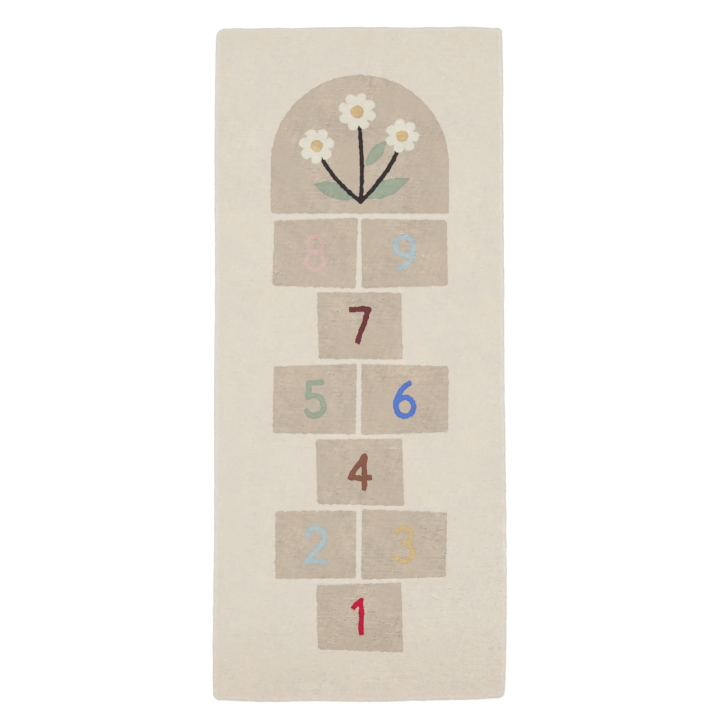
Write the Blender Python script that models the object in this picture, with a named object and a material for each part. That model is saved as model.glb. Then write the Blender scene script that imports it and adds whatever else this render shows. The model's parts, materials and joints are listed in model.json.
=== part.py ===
"""A hand-tufted wool rug for a child's room, with a hopscotch court laid out in its cut pile.

The rug is one flat piece: pile and back cloth together, lying face up on the floor. The flat
underside is at z = 0, the length runs along Y and the width along X, and the origin is the
middle of the underside. All sizes are in metres.
"""

import math
from typing import NamedTuple

import bpy
from mathutils import Vector
from mathutils.geometry import delaunay_2d_cdt


class Corner(NamedTuple):
    """One corner: which side it is on, how far it stands inside the true rectangle, its rounding."""

    side_x: int
    side_y: int
    inset_x: float
    inset_y: float
    radius: float


class Level(NamedTuple):
    """One step of a section: how far inside its line it runs, and its height."""

    inset: float
    height: float


class Row(NamedTuple):
    """One row of the court: how many tiles lie side by side, and the size of each."""

    tiles: int
    tile_width: float
    height: float


class Yarn(NamedTuple):
    """One yarn, with its linear colour."""

    name: str
    colour: tuple
    roughness: float
    sheen: float


# The rug before its corners are eased.
RUG_WIDTH = 0.649
RUG_LENGTH = 1.496
RUG_THICKNESS = 0.012

# Anticlockwise from the near left corner. A handmade piece is never quite square.
CORNERS = (
    Corner(side_x=-1, side_y=-1, inset_x=0.0000, inset_y=0.0008, radius=0.013),
    Corner(side_x=1, side_y=-1, inset_x=0.0000, inset_y=0.0049, radius=0.015),
    Corner(side_x=1, side_y=1, inset_x=0.0059, inset_y=0.0000, radius=0.010),
    Corner(side_x=-1, side_y=1, inset_x=0.0066, inset_y=0.0018, radius=0.020),
)

# How each side bows outwards, from the foot side anticlockwise: the heights of its one half
# wave, its two half waves, its three, and so on.
SIDE_BOWS = (
    (0.0058, -0.0001, 0.0007, 0.0008, 0.0007),
    (0.0032, 0.0018, 0.0015, 0.0005, 0.0003, -0.0001, 0.0004),
    (0.0023, 0.0005, 0.0002, 0.0008, 0.0005),
    (0.0005, 0.0007, 0.0006, 0.0004, 0.0008, -0.0004),
)
SIDE_STEP = 0.030
CORNER_STEPS = 6

# The edge of the rug in section, from the back cloth's rim up over the rounded pile.
RIM = (
    Level(inset=0.0040, height=0.0000),
    Level(inset=0.0014, height=0.0016),
    Level(inset=0.0000, height=0.0046),
    Level(inset=0.0006, height=0.0080),
    Level(inset=0.0026, height=0.0106),
    Level(inset=0.0062, height=RUG_THICKNESS),
)

# The court, from its foot upwards. Each row is one tile or a pair of tiles side by side.
COURT_FOOT = -0.637
LINE_WIDTH = 0.013
COURT_ROWS = (
    Row(tiles=1, tile_width=0.186, height=0.148),
    Row(tiles=2, tile_width=0.184, height=0.150),
    Row(tiles=1, tile_width=0.192, height=0.146),
    Row(tiles=2, tile_width=0.188, height=0.152),
    Row(tiles=1, tile_width=0.190, height=0.148),
    Row(tiles=2, tile_width=0.186, height=0.150),
)
HOME_WIDTH = 0.396
HOME_STRAIGHT = 0.110
HOME_STEPS = 20

# No tile is quite square: its corners wander this far, each at its own phase, and are rounded.
TILE_WANDER = 0.0035
PHASE_PER_TILE = (2.3, 1.9)
PHASE_PER_CORNER = (1.7, 2.9)
TILE_RADIUS = 0.005
TILE_CORNER_STEPS = 3

# The groove that the shears carve along the edge of each tile, in section across that edge.
GROOVE_DEPTH = 0.0012
GROOVE = (
    Level(inset=-0.0023, height=RUG_THICKNESS),
    Level(inset=0.0000, height=RUG_THICKNESS - GROOVE_DEPTH),
    Level(inset=0.0023, height=RUG_THICKNESS),
)

CREAM = Yarn(name="cream_wool", colour=(0.730, 0.672, 0.571), roughness=0.92, sheen=0.3)
TAUPE = Yarn(name="taupe_wool", colour=(0.545, 0.455, 0.365), roughness=0.92, sheen=0.3)
YARNS = (CREAM, TAUPE)

# How the top is filled with triangles: over its whole hull, with points this near merged.
FILL_HULL = 0
MERGE_DISTANCE = 1e-7
SHARP_ANGLE = math.radians(40)


def clear_scene():
    for thing in list(bpy.data.objects):
        bpy.data.objects.remove(thing)


def rounded_corner(corner, before, after, radius, steps):
    """An arc that rounds a corner: it touches both sides, and its points run from one to the other."""
    back = (before - corner).normalized()
    ahead = (after - corner).normalized()
    half = back.angle(ahead) / 2
    centre = corner + (back + ahead).normalized() * (radius / math.sin(half))
    start = corner + back * (radius / math.tan(half)) - centre
    turn = math.pi - 2 * half
    points = []
    for step in range(steps + 1):
        angle = turn * step / steps
        swung = Vector(
            (
                start.x * math.cos(angle) - start.y * math.sin(angle),
                start.x * math.sin(angle) + start.y * math.cos(angle),
            )
        )
        points.append(centre + swung)
    return points


def rounded_corners(corners, radii, steps):
    """The arcs that round the corners of a closed line, one for each corner."""
    arcs = []
    for index, (corner, radius) in enumerate(zip(corners, radii)):
        before = corners[index - 1]
        after = corners[(index + 1) % len(corners)]
        arcs.append(rounded_corner(corner, before, after, radius, steps))
    return arcs


def bowed_side(start, end, heights):
    """Points between two corner arcs, pushed off the straight line by half waves that end there."""
    along = end - start
    outward = Vector((along.y, -along.x)).normalized()
    count = round(along.length / SIDE_STEP)
    points = []
    for index in range(1, count):
        share = index / count
        push = sum(
            height * math.sin(math.pi * half_waves * share)
            for half_waves, height in enumerate(heights, start=1)
        )
        points.append(start + along * share + outward * push)
    return points


def rug_outline():
    """The widest line round the rug, anticlockwise, centred on the origin."""
    points = [
        Vector(
            (
                corner.side_x * (RUG_WIDTH / 2 - corner.inset_x),
                corner.side_y * (RUG_LENGTH / 2 - corner.inset_y),
            )
        )
        for corner in CORNERS
    ]
    radii = [corner.radius for corner in CORNERS]
    arcs = rounded_corners(points, radii, CORNER_STEPS)
    outline = []
    for number, arc in enumerate(arcs):
        next_arc = arcs[(number + 1) % len(arcs)]
        outline += arc
        outline += bowed_side(arc[-1], next_arc[0], SIDE_BOWS[number])
    low = Vector((min(p.x for p in outline), min(p.y for p in outline)))
    high = Vector((max(p.x for p in outline), max(p.y for p in outline)))
    middle = (low + high) / 2
    return [point - middle for point in outline]


def moved_inward(outline, distance):
    """The outline with each point moved inwards, square to the two edges that meet there."""
    moved = []
    for index, point in enumerate(outline):
        before = (point - outline[index - 1]).normalized()
        after = (outline[(index + 1) % len(outline)] - point).normalized()
        inward = Vector((-before.y - after.y, before.x + after.x)).normalized()
        spread = inward.dot(Vector((-before.y, before.x)))
        moved.append(point + inward * (distance / spread))
    return moved


def wandering(tile, corner):
    """A small fixed shift for one corner of one tile."""
    phase_x = PHASE_PER_TILE[0] * tile + PHASE_PER_CORNER[0] * corner
    phase_y = PHASE_PER_TILE[1] * tile + PHASE_PER_CORNER[1] * corner
    return Vector((math.sin(phase_x), math.cos(phase_y))) * TILE_WANDER


def tile_outline(number, left, foot, width, height):
    """One tile: a slightly uneven rectangle with rounded corners, anticlockwise."""
    square = (
        Vector((left, foot)),
        Vector((left + width, foot)),
        Vector((left + width, foot + height)),
        Vector((left, foot + height)),
    )
    corners = [point + wandering(number, corner) for corner, point in enumerate(square)]
    radii = [TILE_RADIUS] * len(corners)
    return sum(rounded_corners(corners, radii, TILE_CORNER_STEPS), [])


def home_outline(foot):
    """The home space: straight sides under a half round top, with rounded lower corners."""
    half = HOME_WIDTH / 2
    spring = foot + HOME_STRAIGHT
    lower_left = Vector((-half, foot))
    lower_right = Vector((half, foot))
    outline = rounded_corner(
        lower_left, Vector((-half, spring)), lower_right, TILE_RADIUS, TILE_CORNER_STEPS
    )
    outline += rounded_corner(
        lower_right, lower_left, Vector((half, spring)), TILE_RADIUS, TILE_CORNER_STEPS
    )
    for step in range(HOME_STEPS + 1):
        angle = math.pi * step / HOME_STEPS
        outline.append(Vector((half * math.cos(angle), spring + half * math.sin(angle))))
    return outline


def court_outlines():
    """The tiles from the foot of the court upwards, and the home space at its head."""
    outlines = []
    foot = COURT_FOOT
    for row in COURT_ROWS:
        row_width = row.tiles * row.tile_width + (row.tiles - 1) * LINE_WIDTH
        for place in range(row.tiles):
            left = -row_width / 2 + place * (row.tile_width + LINE_WIDTH)
            outlines.append(tile_outline(len(outlines), left, foot, row.tile_width, row.height))
        foot += row.height + LINE_WIDTH
    outlines.append(home_outline(foot))
    return outlines


def pile_top(edge, tiles):
    """The top of the pile inside the edge line: flat, with a carved groove along each tile.

    Returns the points, the triangles and the number of each triangle's yarn.
    """
    flat = list(edge)
    heights = [RUG_THICKNESS] * len(edge)
    loops = [list(range(len(edge)))]
    tile_loops = set()
    for tile in tiles:
        for level in GROOVE:
            if level.inset == 0:
                tile_loops.add(len(loops))
            loops.append(list(range(len(flat), len(flat) + len(tile))))
            flat += moved_inward(tile, level.inset)
            heights += [level.height] * len(tile)
    points, _, triangles, sources, _, loops_round = delaunay_2d_cdt(
        flat, [], loops, FILL_HULL, MERGE_DISTANCE, True
    )
    # A triangle inside no loop fills a hollow of the edge line.
    inside = [number for number, found in enumerate(loops_round) if found]
    return (
        [(point.x, point.y, heights[source[0]]) for point, source in zip(points, sources)],
        [triangles[number] for number in inside],
        [YARNS.index(TAUPE if tile_loops & set(loops_round[number]) else CREAM) for number in inside],
    )


def rug_mesh():
    """The whole rug as one closed mesh: pile top, rounded rim and flat underside."""
    outline = rug_outline()
    count = len(outline)
    edge = moved_inward(outline, RIM[-1].inset)
    points, faces, yarns = pile_top(edge, court_outlines())

    # The edge line's points come first in the pile top, in the outline's order.
    above = list(range(count))
    for level in reversed(RIM[:-1]):
        below = [len(points) + index for index in range(count)]
        points += [(point.x, point.y, level.height) for point in moved_inward(outline, level.inset)]
        for index in range(count):
            after = (index + 1) % count
            faces.append((below[index], below[after], above[after], above[index]))
        above = below
    faces.append(tuple(reversed(above)))
    yarns += [YARNS.index(CREAM)] * (len(faces) - len(yarns))

    mesh = bpy.data.meshes.new("rug")
    mesh.from_pydata(points, [], faces)
    for yarn in YARNS:
        mesh.materials.append(wool(yarn))
    mesh.polygons.foreach_set("material_index", yarns)
    mesh.shade_smooth()
    mesh.set_sharp_from_angle(angle=SHARP_ANGLE)
    return mesh


def wool(yarn):
    """Matt wool with a soft sheen."""
    material = bpy.data.materials.new(yarn.name)
    material.use_nodes = True
    shader = material.node_tree.nodes["Principled BSDF"]
    shader.inputs["Base Color"].default_value = (*yarn.colour, 1.0)
    shader.inputs["Roughness"].default_value = yarn.roughness
    shader.inputs["Metallic"].default_value = 0.0
    shader.inputs["Sheen Weight"].default_value = yarn.sheen
    material.diffuse_color = (*yarn.colour, 1.0)
    return material


def main():
    clear_scene()
    rug = bpy.data.objects.new("rug", rug_mesh())
    bpy.context.scene.collection.objects.link(rug)


main()
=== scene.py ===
"""Tufts a child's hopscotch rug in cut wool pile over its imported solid, and sets it on a pale floor."""

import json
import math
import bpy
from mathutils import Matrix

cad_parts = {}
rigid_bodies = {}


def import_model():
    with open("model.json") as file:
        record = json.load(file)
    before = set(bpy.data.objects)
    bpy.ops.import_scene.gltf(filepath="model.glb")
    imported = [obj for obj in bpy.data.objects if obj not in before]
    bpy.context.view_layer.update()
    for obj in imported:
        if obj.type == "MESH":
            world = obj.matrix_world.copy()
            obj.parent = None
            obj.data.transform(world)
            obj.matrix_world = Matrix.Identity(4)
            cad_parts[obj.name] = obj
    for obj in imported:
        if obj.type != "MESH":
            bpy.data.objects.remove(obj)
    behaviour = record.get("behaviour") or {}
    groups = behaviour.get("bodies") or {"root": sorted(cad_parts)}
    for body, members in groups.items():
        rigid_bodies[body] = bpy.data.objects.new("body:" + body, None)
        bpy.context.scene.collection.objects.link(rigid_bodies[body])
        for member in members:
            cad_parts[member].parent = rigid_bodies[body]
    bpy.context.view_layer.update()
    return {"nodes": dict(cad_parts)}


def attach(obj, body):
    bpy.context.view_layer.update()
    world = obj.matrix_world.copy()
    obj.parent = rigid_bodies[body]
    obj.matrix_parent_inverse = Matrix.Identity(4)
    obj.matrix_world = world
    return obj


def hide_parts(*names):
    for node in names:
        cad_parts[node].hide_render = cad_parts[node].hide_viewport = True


bl_info = {
    "name": "Hopscotch Wool Rug",
    "version": (1, 0, 0),
    "blender": (4, 5, 0),
    "location": "3D View > Sidebar > Rug",
    "description": "Tufts a child's wool rug with a hopscotch court, and sets up its studio",
    "category": "Object",
}

from functools import lru_cache
from typing import NamedTuple

import bpy
import numpy as np
from bpy.props import FloatProperty, FloatVectorProperty, IntProperty, PointerProperty
from mathutils import Vector
from mathutils.geometry import delaunay_2d_cdt

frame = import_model()

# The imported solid: its node, and the heights at which its lines run.
NODE = "rug"
BODY = "root"
FLAT_SIZE = (0.650, 1.500)
WIDEST_HEIGHT = 0.0046
GROOVE_HEIGHT = 0.0108
HEIGHT_TOLERANCE = 0.00002
MICROMETRE_DECIMALS = 6

# A length too small to matter. It keeps a division from failing where a length is nothing.
TINY = 1e-9

# How many points, or middles of triangles, are worked out at once.
POINT_BLOCK = 4000
TRIANGLE_BLOCK = 500


class Level(NamedTuple):
    """One step of a section: how far inside the rug's widest line it runs, and its height."""

    inset: float
    height: float


# The pile's edge in section, from its flat top down to its roots, and a little way in under it.
PILE_RIM = (
    Level(inset=0.0062, height=0.0120),
    Level(inset=0.0041, height=0.0115),
    Level(inset=0.0024, height=0.0105),
    Level(inset=0.0010, height=0.0088),
    Level(inset=0.0002, height=0.0067),
    Level(inset=0.0000, height=0.0046),
    Level(inset=0.0005, height=0.0031),
    Level(inset=0.0018, height=0.0018),
    Level(inset=0.0034, height=0.0015),
    Level(inset=0.0120, height=0.0015),
)
RIM_WIDTH = PILE_RIM[0].inset
PILE_TOP = PILE_RIM[0].height
PILE_ROOT = PILE_RIM[-1].height
RIM_ROOT_LEVEL = 7

# The back cloth's edge in section, from its upper face round to its underside.
CLOTH_RIM = (
    Level(inset=0.0032, height=0.0014),
    Level(inset=0.0022, height=0.0012),
    Level(inset=0.0018, height=0.0008),
    Level(inset=0.0022, height=0.0003),
    Level(inset=0.0034, height=0.0000),
)
CLOTH_SHARP_ANGLE = math.radians(50)


class Band(NamedTuple):
    """A band of a piece's map, by its lowest and highest corners."""

    low: np.ndarray
    high: np.ndarray


# Where a piece's map holds its pile, its underside and its walls.
PILE_BAND = Band(low=np.array([0.001, 0.061]), high=np.array([0.999, 0.999]))
BOTTOM_BAND = Band(low=np.array([0.001, 0.021]), high=np.array([0.999, 0.059]))
WALL_BAND = Band(low=np.array([0.001, 0.001]), high=np.array([0.999, 0.019]))
WHOLE_MAP = Band(low=np.array([0.001, 0.001]), high=np.array([0.999, 0.999]))
CELL_MARGIN = 0.1

# What is added to the seed where a thing is drawn apart from the tufts. The next seeds follow on.
SWELL_SEED = 1
CLOUD_SEED = 3
FIBRE_SEED = 20
PATCH_SEED = 26
EDGE_SEED = 27
LINE_SEED = 100


# ---------------------------------------------------------------------------------------------
# Noise


class Wave(NamedTuple):
    """One part of a slow change over the rug: how long it is, and how strong against the others."""

    length: float
    strength: float = 1.0


# A soft field's waves: how many, and their shortest and longest against its usual length.
FIELD_WAVES = 24
WAVE_LENGTHS = (0.6, 1.6)


def smooth_noise(rng, count, spacing):
    """Noise along a line: random values at knots one spacing apart, joined by cosine steps."""
    knots = rng.normal(size=int(count / spacing) + 3)
    place = np.arange(count) / spacing
    before = place.astype(int)
    blend = (1 - np.cos(np.pi * (place - before))) / 2
    return knots[before] * (1 - blend) + knots[before + 1] * blend


def soft_field(seed, points, length):
    """Slow unevenness over the rug: a sum of level waves in random directions, about one high."""
    rng = np.random.default_rng(seed)
    angle = rng.uniform(0, 2 * np.pi, FIELD_WAVES)
    number = 2 * np.pi / (length * rng.uniform(*WAVE_LENGTHS, FIELD_WAVES))
    phase = rng.uniform(0, 2 * np.pi, FIELD_WAVES)
    direction = np.stack([np.cos(angle), np.sin(angle)]) * number
    return np.sin(points @ direction + phase).sum(axis=1) * math.sqrt(2 / FIELD_WAVES)


def slow_change(seed, points, waves):
    """A soft field for each wave, times its strength, and all added up."""
    fields = [wave.strength * soft_field(seed + i, points, wave.length) for i, wave in enumerate(waves)]
    return sum(fields)


def smooth_step(value, low, high):
    """0 below low, 1 above high, and 3t² - 2t³ between them."""
    t = np.clip((value - low) / (high - low), 0, 1)
    return t * t * (3 - 2 * t)


def unit(vectors):
    """Each vector divided by its own length."""
    return vectors / np.maximum(np.linalg.norm(vectors, axis=1, keepdims=True), TINY)


# ---------------------------------------------------------------------------------------------
# Lines and shapes on the flat rug


def lines_at(height):
    """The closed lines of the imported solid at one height, each as points in order.

    A line is a chain of the solid's edges whose two ends both lie at that height.
    """
    mesh = frame["nodes"][NODE].data
    points = np.empty(len(mesh.vertices) * 3)
    mesh.vertices.foreach_get("co", points)
    points = np.round(points.reshape(-1, 3), MICROMETRE_DECIMALS)
    points, number = np.unique(points, axis=0, return_inverse=True)
    ends = np.empty(len(mesh.edges) * 2, np.int32)
    mesh.edges.foreach_get("vertices", ends)
    ends = np.unique(np.sort(number.reshape(-1)[ends].reshape(-1, 2), axis=1), axis=0)
    level = (np.abs(points[ends][:, :, 2] - height) < HEIGHT_TOLERANCE).all(axis=1)
    neighbours = {}
    for a, b in ends[level].tolist():
        neighbours.setdefault(a, []).append(b)
        neighbours.setdefault(b, []).append(a)
    lines = []
    while neighbours:
        here = next(iter(neighbours))
        chain = []
        while here is not None:
            chain.append(here)
            following = neighbours.pop(here)
            here = next((n for n in following if n in neighbours), None)
        lines.append(points[chain][:, :2])
    return lines


def anticlockwise(line):
    """The line with its points in anticlockwise order, by the sign of its area."""
    x, y = line.T
    area = (x * np.roll(y, -1) - np.roll(x, -1) * y).sum()
    return line if area > 0 else line[::-1]


def distance_to_segments(points, starts, ends):
    """How far each point is from the nearest of some straight segments.

    The nearest point of a segment is its start plus its length vector times the share of it
    that the point projects onto, held between 0 and 1.
    """
    along = ends - starts
    length_squared = np.maximum((along**2).sum(axis=1), TINY**2)
    offset = points[:, None] - starts[None]
    share = np.clip((offset * along).sum(axis=2) / length_squared, 0, 1)
    return np.sqrt(((offset - share[:, :, None] * along) ** 2).sum(axis=2).min(axis=1))


def is_inside(points, starts, ends):
    """Whether each point is inside closed lines: a level ray from it crosses them an odd number of
    times."""
    x, y = points[:, None, 0], points[:, None, 1]
    rise = ends[:, 1] - starts[:, 1]
    spans = (starts[:, 1] > y) != (ends[:, 1] > y)
    safe_rise = np.where(rise == 0, 1, rise)
    crossing = starts[:, 0] + (y - starts[:, 1]) / safe_rise * (ends[:, 0] - starts[:, 0])
    return ((spans & (x < crossing)).sum(axis=1) % 2).astype(bool)


def in_blocks(function, points, size=POINT_BLOCK):
    """The function of all points, worked out a block at a time to save memory."""
    blocks = [function(points[i : i + size]) for i in range(0, len(points), size)]
    return np.concatenate(blocks) if blocks else np.zeros(0)


class Outline:
    """A closed line."""

    def __init__(self, line):
        self.starts = anticlockwise(np.asarray(line, float))
        self.ends = np.roll(self.starts, -1, axis=0)
        self.low = self.starts.min(axis=0)
        self.high = self.starts.max(axis=0)

    def distance(self, points):
        """The distance to the nearest of its segments, with a minus sign inside."""
        far = in_blocks(lambda p: distance_to_segments(p, self.starts, self.ends), points)
        inside = in_blocks(lambda p: is_inside(p, self.starts, self.ends), points)
        return np.where(inside.astype(bool), -far, far)


class Strokes:
    """Lines drawn with a pen. The distance is the nearest line's less half the pen's width.

    A line's two ends are as round as the pen where the tip is 1, and cut off square where it is less:
    the tip is how far they reach past the path's end, as a share of half the width.
    """

    def __init__(self, paths, width, tip=1.0):
        self.starts = np.concatenate([path[:-1] for path in paths])
        self.ends = np.concatenate([path[1:] for path in paths])
        self.half = width / 2
        last = np.cumsum([len(path) - 1 for path in paths]) - 1
        first = np.concatenate([[0], last[:-1] + 1])
        self.reach = np.full((2, len(self.starts)), np.inf)
        self.reach[0, first] = self.half * tip
        self.reach[1, last] = self.half * tip
        both = np.concatenate([self.starts, self.ends])
        self.low = both.min(axis=0) - self.half
        self.high = both.max(axis=0) + self.half

    def distance(self, points):
        """The distance to the drawn lines, with a minus sign inside them."""
        return in_blocks(self.distance_of_block, points)

    def distance_of_block(self, points):
        """Each segment's distance, or how far past its cut end a point is if that is more; the least."""
        along = self.ends - self.starts
        length = np.maximum(np.linalg.norm(along, axis=1), TINY)
        offset = points[:, None] - self.starts[None]
        run = (offset * along).sum(axis=2) / length
        share = np.clip(run / length, 0, 1)
        far = np.sqrt(((offset - share[:, :, None] * along) ** 2).sum(axis=2)) - self.half
        past = np.maximum(-run - self.reach[0], run - length - self.reach[1])
        return np.maximum(far, past).min(axis=1)


# How the line between two colours strays: over what length, and at most how many times its usual stray.
WANDER_LENGTH = 0.017
MOST_WANDER = 4


class HandTufted:
    """A shape whose line strays as the hand that tufts it does."""

    def __init__(self, shape, seed, wander):
        self.shape = shape
        self.seed = seed
        self.wander = wander
        self.low = shape.low - MOST_WANDER * wander
        self.high = shape.high + MOST_WANDER * wander

    def distance(self, points):
        """The true shape's distance plus a soft field."""
        stray = soft_field(self.seed, points, WANDER_LENGTH)
        return self.shape.distance(points) + self.wander * stray


# How far apart the two distances are that give the slope at the line of an area, and at the rug's edge.
LINE_STEP = 0.0003
EDGE_STEP = 0.001


def uphill(shape, points, step):
    """The direction in which the shape's distance grows: its slope over a short step each way."""
    slopes = []
    for shift in np.eye(2) * step:
        slopes.append(shape.distance(points + shift) - shape.distance(points - shift))
    return unit(np.stack(slopes, axis=1))


def close_to(shape, points, margin):
    """The numbers of the points within a margin of the shape's box."""
    inside = (points > shape.low - margin) & (points < shape.high + margin)
    return np.flatnonzero(inside.all(axis=1))


def inset_line(outline, inset):
    """The outline with its edges moved inwards by the inset.

    Each point goes square to the mean of the two edges that meet there, by the inset divided by
    the cosine of half the turn.
    """
    before = unit(outline - np.roll(outline, 1, axis=0))
    after = unit(np.roll(outline, -1, axis=0) - outline)
    normal = unit((before + after)[:, ::-1] * (-1, 1))
    cosine = (normal * (before[:, ::-1] * (-1, 1))).sum(axis=1)
    return outline + normal * (inset / cosine)[:, None]


# ---------------------------------------------------------------------------------------------
# Numbers and daisies


def arc(centre, radii, start, end, steps=14):
    """Points on part of an ellipse, between two angles in degrees: its centre plus cosine and sine."""
    angle = np.radians(np.linspace(start, end, steps + 1))
    return centre + np.array(radii) * np.stack([np.cos(angle), np.sin(angle)], axis=1)


def curve(start, bend, end, steps=12):
    """A quadratic curve: the three points weighted by (1-t)², 2t(1-t) and t²."""
    t = np.linspace(0, 1, steps + 1)[:, None]
    return (1 - t) ** 2 * start + 2 * t * (1 - t) * bend + t**2 * end


def joined(*pieces):
    """One path through points and arcs."""
    return np.concatenate([np.atleast_2d(np.asarray(piece, float)) for piece in pieces])


def subdivided(path, step):
    """The path with points added along each straight piece, so that none is longer than the step."""
    pieces = []
    for start, end in zip(path[:-1], path[1:]):
        count = max(1, math.ceil(float(np.linalg.norm(end - start)) / step))
        pieces.append(start + (end - start) * (np.arange(count) / count)[:, None])
    return np.concatenate([*pieces, path[-1:]])


# The pen's paths for each numeral, one unit tall, with its foot at 0 and its middle at x = 0.
NUMERALS = {
    1: [joined((-0.19, 0.79), (0.04, 1.00), (0.04, 0.00))],
    2: [joined(arc((0.00, 0.72), (0.27, 0.28), 165, -38), (-0.28, 0.00), (0.30, 0.00))],
    3: [
        joined(
            arc((-0.02, 0.755), (0.24, 0.245), 155, -90),
            arc((-0.02, 0.265), (0.28, 0.265), 84, -155),
        )
    ],
    4: [joined((0.13, 0.00), (0.13, 1.00), (-0.30, 0.33), (0.32, 0.33))],
    5: [
        joined(
            (0.24, 1.00), (-0.17, 1.00), (-0.21, 0.57), arc((-0.02, 0.31), (0.29, 0.31), 128, -150)
        )
    ],
    6: [
        joined(
            arc((0.30, 0.30), (0.57, 0.70), 104, 180),
            arc((0.00, 0.28), (0.27, 0.28), 180, -180, steps=24),
        )
    ],
    7: [joined((-0.28, 1.00), (0.27, 1.00), (-0.08, 0.00))],
    8: [
        arc((0.00, 0.755), (0.22, 0.245), -90, 270, steps=20),
        arc((0.00, 0.255), (0.27, 0.255), 90, -270, steps=24),
    ],
    9: [
        joined(
            arc((0.00, 0.72), (0.27, 0.28), 0, 360, steps=24),
            arc((-0.30, 0.70), (0.57, 0.70), 0, -76),
        )
    ],
}

# The yarn of each numeral, from 1 to 9.
NUMERAL_YARNS = ("red", "ice", "mustard", "brown", "sage", "blue", "burgundy", "rose", "ice")

# How far the hand that drew the numerals wanders, over what length, and how finely it is followed.
NUMERAL_WANDER = 0.0008
NUMERAL_WANDER_LENGTH = 0.047
NUMERAL_STEP = 0.008

# How far a numeral's or a stem's ends reach, as a share of half its line's width: they are cut nearly
# square.
STROKE_TIP = 0.5


def numeral(number, middle, height, width):
    """One numeral about a point, drawn with a pen that keeps inside its height.

    The hand wanders: each point is shifted by waves of its own place, in a phase for each numeral.
    """
    scale = height - width
    paths = []
    for path in NUMERALS[number]:
        flat = subdivided((path - (0, 0.5)) * scale, NUMERAL_STEP)
        phase = 2.0 * np.pi * flat[:, ::-1] / NUMERAL_WANDER_LENGTH + number
        paths.append(flat + np.sin(phase) * NUMERAL_WANDER + middle)
    return Strokes(paths, width, STROKE_TIP)


class Daisy(NamedTuple):
    """One daisy of the bunch, placed from the middle of the home space's foot."""

    x: float
    y: float
    radius: float
    petals: int
    turn: float
    stem_bend: float


class Leaf(NamedTuple):
    """One leaf of the bunch: its foot and its tip, from the foot of the stems, and how far it bulges."""

    foot: tuple
    tip: tuple
    belly: float


BUNCH = (
    Daisy(x=-0.096, y=0.150, radius=0.040, petals=7, turn=0.20, stem_bend=-0.030),
    Daisy(x=-0.006, y=0.226, radius=0.043, petals=8, turn=0.50, stem_bend=0.012),
    Daisy(x=0.094, y=0.172, radius=0.038, petals=7, turn=0.85, stem_bend=0.030),
)
LEAVES = (
    Leaf(foot=(-0.006, 0.008), tip=(-0.104, 0.040), belly=0.34),
    Leaf(foot=(0.006, 0.008), tip=(0.108, 0.052), belly=0.32),
    Leaf(foot=(0.010, 0.078), tip=(0.056, 0.136), belly=0.36),
)
BUNCH_FOOT = (0.002, 0.026)

# A petal's width against the room it has at the daisy's edge, and the eye's radius against the daisy's.
PETAL_FULLNESS = 0.70
DAISY_EYE = 0.34
DOT = 0.0001


def daisy_petals(middle, daisy):
    """A ring of round-ended petals: strokes from near the middle out to the petals' tips."""
    angle = daisy.turn + 2 * np.pi * np.arange(daisy.petals) / daisy.petals
    ray = np.stack([np.cos(angle), np.sin(angle)], axis=1)
    pen = 2.0 * daisy.radius * math.sin(math.pi / daisy.petals) * PETAL_FULLNESS
    inner = middle + ray * daisy.radius * DAISY_EYE
    outer = middle + ray * (daisy.radius - pen / 2)
    return Strokes([np.stack(pair) for pair in zip(inner, outer)], pen)


def daisy_eye(middle, daisy):
    """A round dot: a stroke of hardly any length with a round-ended pen."""
    return Strokes([np.stack([middle, middle + (DOT, 0)])], 2 * DAISY_EYE * daisy.radius)


def leaf_shape(foot, tip, belly):
    """A leaf between two points: two quadratic curves that bulge to either side."""
    side = (tip - foot)[::-1] * (-1, 1) * belly
    there = curve(foot, (foot + tip) / 2 + side, tip)
    back = curve(tip, (foot + tip) / 2 - side, foot)
    return Outline(np.concatenate([there[:-1], back[:-1]]))


class Area(NamedTuple):
    """One area of pile: its shape, the yarn it is tufted in, its piece, and how deep its edge is carved."""

    shape: object
    yarn: str
    piece: str
    carved: float


def bunch_of_daisies(origin, size):
    """The bunch's areas: its leaves, its stems, which curve up from one foot, and on them the daisies."""
    foot = origin + BUNCH_FOOT
    heads = [origin + (daisy.x, daisy.y) for daisy in BUNCH]
    stems = [
        curve(foot, (foot + head) / 2 + (daisy.stem_bend, 0), head)
        for daisy, head in zip(BUNCH, heads)
    ]
    shapes = [(leaf_shape(foot + leaf.foot, foot + leaf.tip, leaf.belly), "sage") for leaf in LEAVES]
    shapes.append((Strokes(stems, size.stem_stroke, STROKE_TIP), "charcoal"))
    for daisy, head in zip(BUNCH, heads):
        shapes.append((daisy_petals(head, daisy), "chalk"))
        shapes.append((daisy_eye(head, daisy), "mustard"))
    return [Area(shape, yarn, "daisy_pile", size.motif_depth) for shape, yarn in shapes]


# Two tiles stand in one row where their middles round to the same number of these steps.
TILE_ROW_STEP = 0.08


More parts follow.
